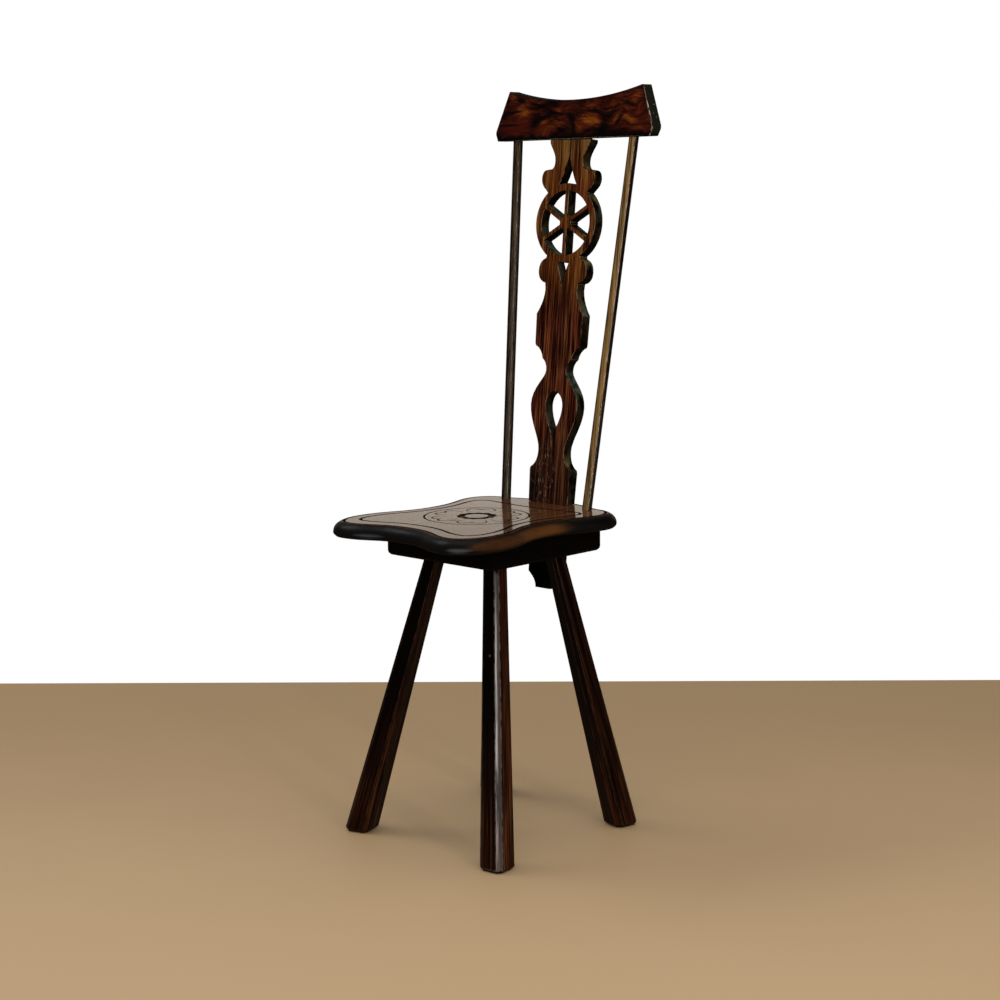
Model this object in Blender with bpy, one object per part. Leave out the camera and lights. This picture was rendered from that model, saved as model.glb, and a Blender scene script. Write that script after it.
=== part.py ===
# A dark oak spinning chair: a shaped and incised seat on a block with four splayed legs,
# and a tall raked back made of a pierced splat, two plain rods and a crest rail.
# Units are metres, +Z is up and the front of the chair faces -Y.
# Points of the chair are first given from the middle of the seat's carved ring,
# and one empty then shifts the whole chair so that the world's origin is under its middle.

import math

import bmesh
import bpy
from mathutils import Matrix, Vector

# Clearance between pieces that touch
GAP = 0.0003

# Seat board
SEAT_TOP = 0.4140
SEAT_THICK = 0.0190
SEAT_FRONT_DIP = 0.1202
SEAT_FRONT_LOBE = (0.0880, 0.1427)
SEAT_FRONT_SIDE = (0.1220, 0.0930)
SEAT_WAIST = (0.0977, -0.0120)
SEAT_BACK_SIDE = (0.1172, -0.1050)
SEAT_BACK_LOBE = (0.0860, -0.1382)
SEAT_BACK_BOW = 0.1562
SEAT_BACK_FULLNESS = 0.60
EDGE_REACH = 0.0115
EDGE_DROP = 0.0130
EDGE_UNDERCUT = 0.0070
EDGE_START = math.radians(20)
SEAT_LEFT_NARROWING = 0.98
SEAT_LOBE_PULL = 0.55
SEAT_FRONT_PULL = 0.64
SEAT_FRONT_CURL = 0.048
SEAT_BACK_CURL = 0.050
SEAT_SIDE_CURL = 0.030
SEAT_BACK_PULL = 0.018

# Incised lines and the carved rose on the seat
BORDER_HALF = 0.0022
BORDER_DEPTH = 0.0018
BORDER_INSET = 0.0024
LINE_HALF = 0.0013
LINE_DEPTH = 0.0011
LINE_END = 0.15
LINE_TAPER = 4.0
PANEL_FRONT_DIP = 0.0975
PANEL_FRONT_LOBE = (0.0870, 0.1165)
PANEL_FRONT_SIDE = (0.1035, 0.0920)
PANEL_WAIST = (0.0805, -0.0120)
PANEL_BACK_SIDE = (0.0925, -0.0880)
PANEL_BACK_LOBE = (0.0780, -0.1020)
PANEL_BACK_DIP = 0.0960
PANEL_BACK_FULLNESS = 0.45
RING_RADIUS = 0.0666
ROSE_BUTTON = 0.0150
ROSE_WELL = 0.0240
ROSE_THORN = 0.0030
ROSE_DEPTH = 0.0020
ROSE_PETALS = 6
ROSE_TURN = math.radians(7)
PETAL_ROOT = 0.0300
PETAL_TIP = 0.0570
PETAL_NOTCH = 0.0485
PETAL_SPREAD = math.radians(23)
PETAL_WIDE = 1.15
PETAL_NARROW = 0.62

# Block under the seat
BLOCK_HALF_WIDTH = 0.0925
BLOCK_FRONT = -0.0680
BLOCK_BACK = 0.1314
BLOCK_THICK = 0.0326
BLOCK_ROUND = 0.0065

# Legs: where they enter the block, where they stand and how far each is turned
LEG_TOP_X = 0.0524
LEG_TOP_FRONT = -0.0219
LEG_TOP_BACK = 0.0872
FRONT_LEFT_FOOT = (-0.1226, -0.0965)
FRONT_RIGHT_FOOT = (0.1188, -0.0929)
BACK_LEFT_FOOT = (-0.1126, 0.1459)
BACK_RIGHT_FOOT = (0.1142, 0.1462)
FRONT_LEFT_TURN = math.radians(16)
FRONT_RIGHT_TURN = math.radians(6)
BACK_LEFT_TURN = math.radians(4)
BACK_RIGHT_TURN = math.radians(-12)
FRONT_LEFT_TOP_SIDE = 0.0226
FRONT_RIGHT_TOP_SIDE = 0.0248
BACK_TOP_SIDE = 0.0216
LEG_SIDE_FOOT = 0.0360
LEG_CHAMFER = 0.18
FOOT_CHAMFER = 0.0040
TENON_RADIUS = 0.0095
WEDGE_DEPTH = 0.0160
WEDGE_THICK = 0.0032
WEDGE_TIP = 0.0010
WEDGE_MARGIN = 0.0010

# Raked splat: half widths and heights are measured on its front face from the seat
SPLAT_SIDE = -0.0008
SPLAT_FRONT = 0.1338
RAKE = math.radians(5.91)
SPLAT_THICK = 0.0152
FOOT_HALF = 0.0336
FOOT_TOP = (0.0355, 0.0425)
ANKLE = (0.0224, 0.0695)
OVAL = (0.0406, 0.1280)
WAIST = (0.0173, 0.1740)
STEP = (0.0252, 0.1891)
PANEL_BASE = (0.0394, 0.2095)
PANEL_HEAD = (0.0402, 0.2470)
THROAT = (0.0275, 0.2790)
WHEEL_CENTRE = 0.3656
LOW_LOBE = (0.0413, WHEEL_CENTRE - 0.0631)
WHEEL_RADIUS = 0.0513
WHEEL_RIM = 0.0097
WHEEL_HUB = 0.0095
SPOKE_WIDTH = 0.0058
SPOKES = 6
LOW_NOTCH = math.radians(-56.2)
HIGH_NOTCH = math.radians(49.2)
HIGH_LOBE = (0.0456, WHEEL_CENTRE + 0.0569)
NECK = (0.0240, HIGH_LOBE[1] + 0.0230)
SPLAT_HEAD = (0.0346, NECK[1] + 0.0281)
SPIRE_HALF = 0.0155
SPIRE_HEIGHT = 0.0400
DART_HALF = 0.0105
DART_HEIGHT = 0.0300
DROP_TOP = 0.1465
DROP_HALF = 0.0147
DROP_WIDE = 0.1280
DROP_TIP = 0.0755
TAIL_HALF = 0.0266
TAIL_SHOULDER = -0.0915
TAIL_END = (0.0123, -0.1120)
CREST_TENON_HALF = 0.0260
CREST_TENON_THICK = 0.0080
CREST_TENON_LENGTH = 0.0220

# Crest rail, in the plane of the splat
CREST_SET_BACK = 0.0008
CREST_THICK = 0.0184
CREST_BOTTOM_HALF = 0.1310
CREST_CORNER = (0.1350, 0.0092)
CREST_END_HEIGHT = 0.0131
CREST_TOP_HALF = 0.1147
CREST_HEIGHT = 0.0655
CREST_TILT = 0.006
CREST_DIP = 0.0150
CREST_EDGE = 0.0008

# Rods of the back
ROD_RADIUS = 0.0063
ROD_FOOT = (0.0715, 0.1297)
ROD_HEAD_X = 0.1001
ROD_HEAD_SHIFT = -0.0006
ROD_HEAD_DEPTH = 0.0090
ROD_IN_SEAT = 0.0130
ROD_IN_CREST = 0.0200

# Wood screws
SCREW_HEAD = 0.0042
SCREW_SHANK = 0.0021
SCREW_HEAD_DEPTH = 0.0030
SCREW_SLOT = 0.0011
BLOCK_SCREW_LENGTH = 0.0420
BLOCK_SCREW_X = 0.0720
BLOCK_SCREW_FRONT = -0.0480
BLOCK_SCREW_BACK = 0.0900
TAIL_SCREW_LENGTH = 0.0320
TAIL_SCREW_X = 0.0150
TAIL_SCREW_HEIGHT = -0.0360
SCREW_STEPS = 12

# Fineness of curves
CURVE_STEPS = 6
ROUND_STEPS = 24
PROFILE_STEPS = 6

SEAT_UNDERSIDE = SEAT_TOP - SEAT_THICK
BLOCK_TOP = SEAT_UNDERSIDE - GAP
BLOCK_UNDERSIDE = BLOCK_TOP - BLOCK_THICK
CREST_BOTTOM = SPLAT_HEAD[1]
CREST_LIFT = CREST_THICK * math.tan(RAKE)
CREST_BACK_MOST = (
    SPLAT_FRONT
    + (CREST_BOTTOM + CREST_LIFT + CREST_HEIGHT + CREST_TILT * CREST_TOP_HALF) * math.sin(RAKE)
    + (CREST_SET_BACK + CREST_THICK) * math.cos(RAKE)
)
SEAT_FRONT_MOST = -SEAT_FRONT_LOBE[1] - EDGE_REACH

OAK = (0.085, 0.036, 0.018)
OAK_DARK = (0.018, 0.012, 0.009)
OAK_RED = (0.100, 0.032, 0.012)
STEEL = (0.30, 0.29, 0.27)


def clear_scene():
    for obj in list(bpy.data.objects):
        bpy.data.objects.remove(obj, do_unlink=True)


def make_material(name, colour, roughness, metallic=0.0):
    material = bpy.data.materials.new(name)
    material.use_nodes = True
    shader = material.node_tree.nodes["Principled BSDF"]
    shader.inputs["Base Color"].default_value = (*colour, 1.0)
    shader.inputs["Roughness"].default_value = roughness
    shader.inputs["Metallic"].default_value = metallic
    return material


def add_object(name, mesh, parent, location=(0, 0, 0), rotation=(0, 0, 0)):
    obj = bpy.data.objects.new(name, mesh)
    bpy.context.scene.collection.objects.link(obj)
    obj.parent = parent
    obj.location = location
    obj.rotation_euler = rotation
    return obj


def finish_mesh(bm, name):
    bmesh.ops.recalc_face_normals(bm, faces=bm.faces[:])
    mesh = bpy.data.meshes.new(name)
    bm.to_mesh(mesh)
    bm.free()
    return mesh


def dress(obj, colour, roughness, metallic=0.0):
    obj.data.materials.append(make_material(obj.name + "_finish", colour, roughness, metallic))
    obj.data.shade_smooth()
    obj.data.set_sharp_from_angle(angle=math.radians(35))


def cut(target, cutter, operation="DIFFERENCE"):
    cutter.hide_render = True
    cutter.display_type = "WIRE"
    modifier = target.modifiers.new(cutter.name, "BOOLEAN")
    modifier.operation = operation
    modifier.object = cutter
    modifier.solver = "EXACT"


def add_cut(target, bm, name, parent, location=(0, 0, 0), rotation=(0, 0, 0), operation="DIFFERENCE"):
    # Makes a cutter of a mesh and cuts the target with it
    cut(target, add_object(name, finish_mesh(bm, name), parent, location, rotation), operation)


def bezier(start, handle_a, handle_b, end, steps=CURVE_STEPS):
    # Points of a cubic curve, without its start
    points = []
    for i in range(1, steps + 1):
        t = i / steps
        a = (1 - t) ** 3
        b = 3 * t * (1 - t) ** 2
        c = 3 * t * t * (1 - t)
        d = t ** 3
        x = a * start[0] + b * handle_a[0] + c * handle_b[0] + d * end[0]
        y = a * start[1] + b * handle_a[1] + c * handle_b[1] + d * end[1]
        points.append((x, y))
    return points


def arc(centre, radius, start, end, steps):
    # Points of a circle's arc, with both ends
    points = []
    for i in range(steps + 1):
        angle = start + (end - start) * i / steps
        points.append((centre[0] + radius * math.cos(angle), centre[1] + radius * math.sin(angle)))
    return points


def mirrored(half, narrowing=1.0):
    # A closed outline from its right half, whose first and last points may lie on the middle line
    left = [(-x * narrowing, y) for x, y in reversed(half) if x > 1e-9]
    return half + left


def offset_outline(points, distance):
    # A closed outline moved outwards along its own normals; the points run anticlockwise
    count = len(points)
    moved = []
    for i in range(count):
        before = points[i - 1]
        after = points[(i + 1) % count]
        along = Vector((after[0] - before[0], after[1] - before[1])).normalized()
        moved.append((points[i][0] + along.y * distance, points[i][1] - along.x * distance))
    return moved


def loft(bm, rings):
    # Skin a list of rings with as many points each, and close both ends
    rows = [[bm.verts.new(point) for point in ring] for ring in rings]
    count = len(rows[0])
    for low, high in zip(rows, rows[1:]):
        for i in range(count):
            j = (i + 1) % count
            bm.faces.new((low[i], low[j], high[j], high[i]))
    bm.faces.new(list(reversed(rows[0])))
    bm.faces.new(rows[-1])


def board_prism(bm, outline, front, back):
    # An outline in a board's own face (x across, z along), given thickness along y
    loft(bm, [[(x, front, z) for x, z in outline], [(x, back, z) for x, z in outline]])


def cylinder(bm, start, end, radius, steps=ROUND_STEPS):
    start = Vector(start)
    end = Vector(end)
    turn = (end - start).to_track_quat("Z", "Y").to_matrix()
    rings = []
    for centre in (start, end):
        ring = []
        for i in range(steps):
            angle = 2 * math.pi * i / steps
            ring.append(centre + turn @ Vector((radius * math.cos(angle), radius * math.sin(angle), 0)))
        rings.append(ring)
    loft(bm, rings)


def seat_half(front_dip, front_lobe, front_side, waist, back_side, back_lobe, back_middle, fullness):
    # Right half of the seat's outline or of its inner line, from the front to the back
    fx, fy = front_lobe[0], -front_lobe[1]
    sx, sy = front_side[0], -front_side[1]
    wx, wy = waist[0], -waist[1]
    bx, by = back_side[0], -back_side[1]
    lx, ly = back_lobe[0], -back_lobe[1]
    pull = SEAT_LOBE_PULL
    points = [(0.0, -front_dip)]
    points += bezier(points[-1], (fx * pull, -front_dip), (fx * SEAT_FRONT_PULL, fy), (fx, fy), 8)
    points += bezier(points[-1], (fx + pull * (sx - fx), fy), (sx, sy + pull * (fy - sy)), (sx, sy), 7)
    points += bezier(points[-1], (sx, sy / 2), (wx, wy - SEAT_FRONT_CURL), (wx, wy), 8)
    points += bezier(points[-1], (wx, wy + SEAT_BACK_CURL), (bx, by - SEAT_SIDE_CURL), (bx, by), 8)
    points += bezier(points[-1], (bx, by + pull * (ly - by)), (lx + pull * (bx - lx), ly), (lx, ly), 7)
    points += bezier(
        points[-1], (lx - SEAT_BACK_PULL, ly), (lx * fullness, back_middle), (0.0, back_middle), 8)
    return points


def seat_outline():
    # Edge of the flat top, anticlockwise from the middle of the front
    return mirrored(seat_half(
        SEAT_FRONT_DIP, SEAT_FRONT_LOBE, SEAT_FRONT_SIDE, SEAT_WAIST,
        SEAT_BACK_SIDE, SEAT_BACK_LOBE, SEAT_BACK_BOW, SEAT_BACK_FULLNESS,
    ), SEAT_LEFT_NARROWING)


def seat_panel_outline():
    return mirrored(seat_half(
        PANEL_FRONT_DIP, PANEL_FRONT_LOBE, PANEL_FRONT_SIDE, PANEL_WAIST,
        PANEL_BACK_SIDE, PANEL_BACK_LOBE, PANEL_BACK_DIP, PANEL_BACK_FULLNESS,
    ), SEAT_LEFT_NARROWING)


def edge_profile():
    # The seat's rounded edge as (reach, height) from the top down to the underside
    steps = PROFILE_STEPS
    first_sine = math.sin(EDGE_START)
    first_cosine = math.cos(EDGE_START)
    points = []
    for i in range(steps + 1):
        angle = EDGE_START + (math.pi / 2 - EDGE_START) * i / steps
        reach = EDGE_REACH * (math.sin(angle) - first_sine) / (1 - first_sine)
        drop = EDGE_DROP * (first_cosine - math.cos(angle)) / first_cosine
        points.append((reach, SEAT_TOP - drop))
    under_drop = SEAT_THICK - EDGE_DROP
    for i in range(1, 4):
        angle = math.pi / 2 * i / 3
        reach = EDGE_REACH - EDGE_UNDERCUT * (1 - math.cos(angle))
        points.append((reach, SEAT_TOP - EDGE_DROP - under_drop * math.sin(angle)))
    return points


def groove(bm, path, closed, half, depth):
    # A V-shaped cutter along a path on the seat; an open one tapers to a point at both ends
    count = len(path)
    rows = []
    for i, (x, y) in enumerate(path):
        before = path[i - 1] if closed or i > 0 else path[0]
        after = path[(i + 1) % count] if closed or i < count - 1 else path[-1]
        along = Vector((after[0] - before[0], after[1] - before[1])).normalized()
        size = 1.0 if closed else max(LINE_END, min(1.0, LINE_TAPER * min(i, count - 1 - i) / count))
        side = Vector((along.y, -along.x)) * half * 1.5 * size
        rows.append([
            bm.verts.new((x + side.x, y + side.y, SEAT_TOP + depth * size * 0.5)),
            bm.verts.new((x - side.x, y - side.y, SEAT_TOP + depth * size * 0.5)),
            bm.verts.new((x, y, SEAT_TOP - depth * size)),
        ])
    last = count if closed else count - 1
    for i in range(last):
        low = rows[i]
        high = rows[(i + 1) % count]
        for k in range(3):
            m = (k + 1) % 3
            bm.faces.new((low[k], low[m], high[m], high[k]))
    if not closed:
        bm.faces.new(rows[0])
        bm.faces.new(list(reversed(rows[-1])))


def rose_petal(turn):
    # A heart-tipped petal as an open line from one side of its root to the other
    def polar(radius, angle):
        return (radius * math.cos(turn + angle), radius * math.sin(turn + angle))

    narrow = -PETAL_SPREAD * PETAL_NARROW
    wide = -PETAL_SPREAD * PETAL_WIDE
    root = polar(PETAL_ROOT, narrow)
    shoulder = polar(PETAL_TIP, narrow)
    notch = polar(PETAL_NOTCH, 0)
    points = [root]
    points += bezier(root, polar(PETAL_ROOT * 1.25, wide), polar(PETAL_TIP * 0.93, wide), shoulder)
    curl = polar(PETAL_TIP * 1.02, -PETAL_SPREAD * 0.40)
    points += bezier(shoulder, curl, polar(PETAL_TIP * 0.97, -PETAL_SPREAD * 0.08), notch, 5)
    axis = Vector((math.cos(turn), math.sin(turn)))
    other = []
    for x, y in reversed(points[:-1]):
        along = axis * (x * axis.x + y * axis.y)
        other.append((2 * along.x - x, 2 * along.y - y))
    return points + other


def carving_cutter(parent):
    bm = bmesh.new()
    groove(bm, offset_outline(seat_outline(), -BORDER_INSET), True, BORDER_HALF, BORDER_DEPTH)
    groove(bm, seat_panel_outline(), True, BORDER_HALF, BORDER_DEPTH)
    groove(bm, arc((0, 0), RING_RADIUS, 0, 2 * math.pi, 60)[:-1], True, LINE_HALF, LINE_DEPTH)
    for i in range(ROSE_PETALS):
        turn = ROSE_TURN + 2 * math.pi * i / ROSE_PETALS
        groove(bm, rose_petal(turn), False, LINE_HALF, LINE_DEPTH)
    rose_well(bm)
    return add_object("seat_carving_cutter", finish_mesh(bm, "seat_carving_cutter"), parent)


def rose_well(bm):
    # Sunk ground around the rose's button, with a thorn between each two petals
    steps = 8 * ROSE_PETALS
    inner = []
    outer = []
    for i in range(steps):
        angle = 2 * math.pi * i / steps
        phase = (angle - ROSE_TURN) * ROSE_PETALS
        spike = 1.0 - abs(math.sin(phase))
        inner.append((ROSE_BUTTON * math.cos(angle), ROSE_BUTTON * math.sin(angle)))
        reach = ROSE_WELL + ROSE_THORN * spike
        outer.append((reach * math.cos(angle), reach * math.sin(angle)))
    rows = []
    loops = ((outer, ROSE_DEPTH), (outer, -ROSE_DEPTH), (inner, -ROSE_DEPTH), (inner, ROSE_DEPTH))
    for ring, height in loops:
        rows.append([bm.verts.new((x, y, SEAT_TOP + height)) for x, y in ring])
    for k in range(4):
        low = rows[k]
        high = rows[(k + 1) % 4]
        for i in range(steps):
            j = (i + 1) % steps
            bm.faces.new((low[i], low[j], high[j], high[i]))


def splat_point(x, depth, height):
    # A point given on the splat's face, as a point of the chair
    return Vector((
        SPLAT_SIDE + x,
        SPLAT_FRONT + height * math.sin(RAKE) + depth * math.cos(RAKE),
        SEAT_TOP + height * math.cos(RAKE) - depth * math.sin(RAKE),
    ))


def rod_ends(side):
    # Where a rod's middle line leaves the seat and enters the crest
    foot = Vector((side * ROD_FOOT[0], ROD_FOOT[1], SEAT_TOP))
    head = splat_point(side * ROD_HEAD_X + ROD_HEAD_SHIFT, ROD_HEAD_DEPTH, CREST_BOTTOM)
    return foot, head


def block_screw_places():
    for y in (BLOCK_SCREW_FRONT, BLOCK_SCREW_BACK):
        for x in (-BLOCK_SCREW_X, BLOCK_SCREW_X):
            yield x, y


def seat_hole_cutter(parent):
    # Mortise for the splat, blind holes for the rods and pilot holes for the screws
    bm = bmesh.new()
    half = TAIL_HALF + GAP
    front = -GAP
    back = SPLAT_THICK + GAP
    corners = ((-half, front), (half, front), (half, back), (-half, back))
    low = [splat_point(x, depth, -SEAT_THICK * 2) for x, depth in corners]
    high = [splat_point(x, depth, SEAT_THICK) for x, depth in corners]
    loft(bm, [low, high])
    for side in (-1, 1):
        foot, head = rod_ends(side)
        along = (head - foot).normalized()
        cylinder(bm, foot - along * (ROD_IN_SEAT + GAP), foot + along * ROD_RADIUS * 2, ROD_RADIUS + GAP)
    top = BLOCK_UNDERSIDE + BLOCK_SCREW_LENGTH + GAP
    for x, y in block_screw_places():
        cylinder(bm, (x, y, SEAT_UNDERSIDE - SEAT_THICK), (x, y, top), SCREW_SHANK + GAP, SCREW_STEPS)
    return add_object("seat_hole_cutter", finish_mesh(bm, "seat_hole_cutter"), parent)


def make_seat(parent):
    outline = seat_outline()
    bm = bmesh.new()
    rings = []
    for reach, height in edge_profile():
        rings.append([(x, y, height) for x, y in offset_outline(outline, reach)])
    loft(bm, list(reversed(rings)))
    seat = add_object("seat", finish_mesh(bm, "seat"), parent)
    cut(seat, seat_hole_cutter(parent))
    cut(seat, carving_cutter(parent))
    dress(seat, OAK, 0.2)


def legs():
    # Name, place at the block, foot on the floor, turn, and side at the top
    left = -LEG_TOP_X
    right = LEG_TOP_X
    front = LEG_TOP_FRONT
    back = LEG_TOP_BACK
    return (
        ("leg_front_left", left, front, FRONT_LEFT_FOOT, FRONT_LEFT_TURN, FRONT_LEFT_TOP_SIDE),
        ("leg_front_right", right, front, FRONT_RIGHT_FOOT, FRONT_RIGHT_TURN, FRONT_RIGHT_TOP_SIDE),
        ("leg_back_left", left, back, BACK_LEFT_FOOT, BACK_LEFT_TURN, BACK_TOP_SIDE),
        ("leg_back_right", right, back, BACK_RIGHT_FOOT, BACK_RIGHT_TURN, BACK_TOP_SIDE),
    )


def leg_ends(x, y, foot):
    # The leg's middle line where it meets the block, and where it stands
    return Vector((x, y, BLOCK_UNDERSIDE - GAP)), Vector((*foot, 0.0))


def leg_section(side, turn):
    # A square with cut corners, turned about the leg
    flat = side * (0.5 - LEG_CHAMFER)
    face = side * 0.5
    points = []
    for quarter in range(4):
        spin = Matrix.Rotation(turn + quarter * math.pi / 2, 2)
        for across in (-flat, flat):
            points.append(tuple(spin @ Vector((face, across))))
    return points


def tenon_frame(top, foot):
    # The leg's own frame at the block's underside, with z along the leg
    along = Vector(top) - Vector(foot)
    return Matrix.Translation(top) @ along.to_track_quat("Z", "Y").to_matrix().to_4x4()


def wedge_mesh(bm, frame, room, top):
    # A wedge in the end of the tenon, or with some room its slot
    depth = BLOCK_TOP - GAP - WEDGE_DEPTH
    lift = (frame.inverted() @ Vector((frame.translation.x, frame.translation.y, depth))).z - room
    reach = (frame.inverted() @ Vector((frame.translation.x, frame.translation.y, top))).z
    half_width = TENON_RADIUS - WEDGE_MARGIN if room == 0 else TENON_RADIUS * 2
    rings = []
    for height, thick in ((lift, WEDGE_TIP / 2 + room), (reach, WEDGE_THICK / 2 + room)):
        ring = []
        corners = ((-thick, -half_width), (thick, -half_width), (thick, half_width), (-thick, half_width))
        for x, y in corners:
            ring.append(frame @ Vector((x, y, height)))
        rings.append(ring)
    loft(bm, rings)


def make_leg(parent, name, top, foot, turn, top_side):
    rise = top.z - foot.z
    bm = bmesh.new()
    levels = (
        (0.0, LEG_SIDE_FOOT - 2 * FOOT_CHAMFER),
        (FOOT_CHAMFER, LEG_SIDE_FOOT),
        (rise, top_side),
    )
    rings = []
    for height, side in levels:
        centre = foot.lerp(top, height / rise) - foot
        rings.append([(centre.x + x, centre.y + y, centre.z) for x, y in leg_section(side, turn)])
    loft(bm, rings)
    leg = add_object(name, finish_mesh(bm, name), parent, foot)
    cut(leg, tenon_cutter(parent, name, tenon_frame(top, foot)), "UNION")
    slot = bmesh.new()
    wedge_mesh(slot, tenon_frame(top, foot), GAP, BLOCK_TOP + WEDGE_DEPTH)
    add_cut(leg, slot, name + "_slot_cutter", parent)
    dress(leg, OAK_DARK, 0.2)


def cut_flat(bm, height):
    # Remove what lies above a level height and close the cut
    geometry = bm.verts[:] + bm.edges[:] + bm.faces[:]
    made = bmesh.ops.bisect_plane(
        bm, geom=geometry, plane_co=(0, 0, height), plane_no=(0, 0, 1), clear_outer=True)
    edges = [item for item in made["geom_cut"] if isinstance(item, bmesh.types.BMEdge)]
    bmesh.ops.edgeloop_fill(bm, edges=edges)


def tenon_cutter(parent, name, frame):
    # The round tenon on top of a leg, cut level just under the top of the block
    bm = bmesh.new()
    start = frame @ Vector((0, 0, -TENON_RADIUS))
    end = frame @ Vector((0, 0, BLOCK_THICK * 2))
    cylinder(bm, start, end, TENON_RADIUS)
    cut_flat(bm, BLOCK_TOP - GAP)
    return add_object(name + "_tenon_cutter", finish_mesh(bm, name + "_tenon_cutter"), parent)


def make_wedge(parent, name, top, foot):
    bm = bmesh.new()
    wedge_mesh(bm, tenon_frame(top, foot), 0, BLOCK_TOP + WEDGE_DEPTH)
    cut_flat(bm, BLOCK_TOP - GAP)
    wedge = add_object(name.replace("leg", "leg_wedge"), finish_mesh(bm, name), parent)
    dress(wedge, OAK_DARK, 0.5)


def make_block(parent):
    half = BLOCK_HALF_WIDTH
    bm = bmesh.new()
    corners = ((-half, BLOCK_FRONT), (half, BLOCK_FRONT), (half, BLOCK_BACK), (-half, BLOCK_BACK))
    rings = []
    steps = 3
    for i in range(steps + 1):
        angle = math.pi / 2 * i / steps
        inset = BLOCK_ROUND * (1 - math.sin(angle))
        height = BLOCK_UNDERSIDE + BLOCK_ROUND * (1 - math.cos(angle))
        rings.append([
            (a - math.copysign(inset, a), b - math.copysign(inset, b), height) for a, b in corners
        ])
    rings.append([(a, b, BLOCK_TOP) for a, b in corners])
    loft(bm, rings)
    block = add_object("under_block", finish_mesh(bm, "under_block"), parent)

    holes = bmesh.new()
    for _, x, y, foot, _, _ in legs():
        frame = tenon_frame(*leg_ends(x, y, foot))
        start = frame @ Vector((0, 0, -TENON_RADIUS))
        end = frame @ Vector((0, 0, BLOCK_THICK * 1.5))
        cylinder(holes, start, end, TENON_RADIUS + GAP)
    for a, b in block_screw_places():
        screw_solid(holes, Matrix.Translation((a, b, BLOCK_UNDERSIDE)), BLOCK_SCREW_LENGTH, GAP)
    add_cut(block, holes, "block_hole_cutter", parent)

    housing = bmesh.new()
    half = TAIL_HALF + GAP
    low = -BLOCK_THICK * 3
    high = BLOCK_THICK
    board_prism(housing, [(-half, low), (half, low), (half, high), (-half, high)], -GAP, SPLAT_THICK * 2)
    place = (SPLAT_SIDE, SPLAT_FRONT, SEAT_TOP)
    tilt = (-RAKE, 0, 0)
    add_cut(block, housing, "block_housing_cutter", parent, place, tilt)

    pilots = bmesh.new()
    for side in (-1, 1):
        frame = tail_screw_frame(side)
        end = frame @ Vector((0, 0, TAIL_SCREW_LENGTH + GAP))
        cylinder(pilots, frame.translation, end, SCREW_SHANK + GAP, SCREW_STEPS)
    add_cut(block, pilots, "block_pilot_cutter", parent, place, tilt)
    dress(block, OAK_DARK, 0.35)


def curve_from(point, steps, *shifts):
    # A curve given by shifts from a known point: its start, two handles and its end
    corners = [(point[0] + x, point[1] + z) for x, z in shifts]
    return bezier(*corners, steps)


def splat_foot_outline():
    # The spread foot, the ankle, the oval and the waist above it
    points = [(FOOT_HALF, -SEAT_THICK / 2), FOOT_TOP]
    step = (FOOT_TOP[0] - 0.0010, FOOT_TOP[1] + 0.0033)
    points.append(step)
    points += bezier(step, (0.0265, FOOT_TOP[1] + 0.0075), (ANKLE[0], ANKLE[1] - 0.0115), ANKLE)
    points += bezier(ANKLE, (ANKLE[0], ANKLE[1] + 0.0165), (OVAL[0], OVAL[1] - 0.0240), OVAL, 8)
    points += bezier(OVAL, (OVAL[0], OVAL[1] + 0.0220), (WAIST[0], WAIST[1] - 0.0105), WAIST, 8)
    return points


def splat_panel_outline():
    # The stepped panel over the waist, up to the throat under the wheel
    handle = (STEP[0] - 0.0049, STEP[1] - 0.0031)
    points = bezier(WAIST, (WAIST[0], WAIST[1] + 0.0070), handle, STEP, 4)
    hollow = (PANEL_BASE[0] - 0.0047, PANEL_BASE[1] - 0.0058)
    handle = (hollow[0] - 0.0052, hollow[1] - 0.0032)
    points += bezier(STEP, (STEP[0] + 0.0008, STEP[1] + 0.0059), handle, hollow, 5)
    handle = (hollow[0] + 0.0035, hollow[1] + 0.0008)
    points += bezier(hollow, handle, (PANEL_BASE[0] - 0.0002, PANEL_BASE[1] - 0.0035), PANEL_BASE, 3)
    points.append(PANEL_HEAD)
    handle = (PANEL_HEAD[0] - 0.0067, PANEL_HEAD[1] + 0.0090)
    points += bezier(PANEL_HEAD, handle, (THROAT[0] + 0.0005, THROAT[1] - 0.0110), THROAT)
    points.append((THROAT[0] + 0.0008, THROAT[1] + 0.0065))
    return points


def splat_wheel_outline():
    # The wheel's rim between a lobe under it and a lobe over it
    points = [(LOW_LOBE[0] - 0.0128, LOW_LOBE[1] - 0.0150)]
    points += curve_from(LOW_LOBE, 5, (-0.0128, -0.0150), (-0.0048, -0.0140), (0.0, -0.0080), (0.0, 0.0))
    points += curve_from(LOW_LOBE, 5, (0.0, 0.0), (0.0, 0.0090), (-0.0038, 0.0150), (-0.0113, 0.0172))
    points += arc((0, WHEEL_CENTRE), WHEEL_RADIUS, LOW_NOTCH, HIGH_NOTCH, 18)
    points += curve_from(HIGH_LOBE, 5, (-0.0121, -0.0163), (-0.0051, -0.0130), (0.0, -0.0070), (0.0, 0.0))
    points += curve_from(HIGH_LOBE, 5, (0.0, 0.0), (0.0, 0.0075), (-0.0036, 0.0117), (-0.0086, 0.0117))
    return points


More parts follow.
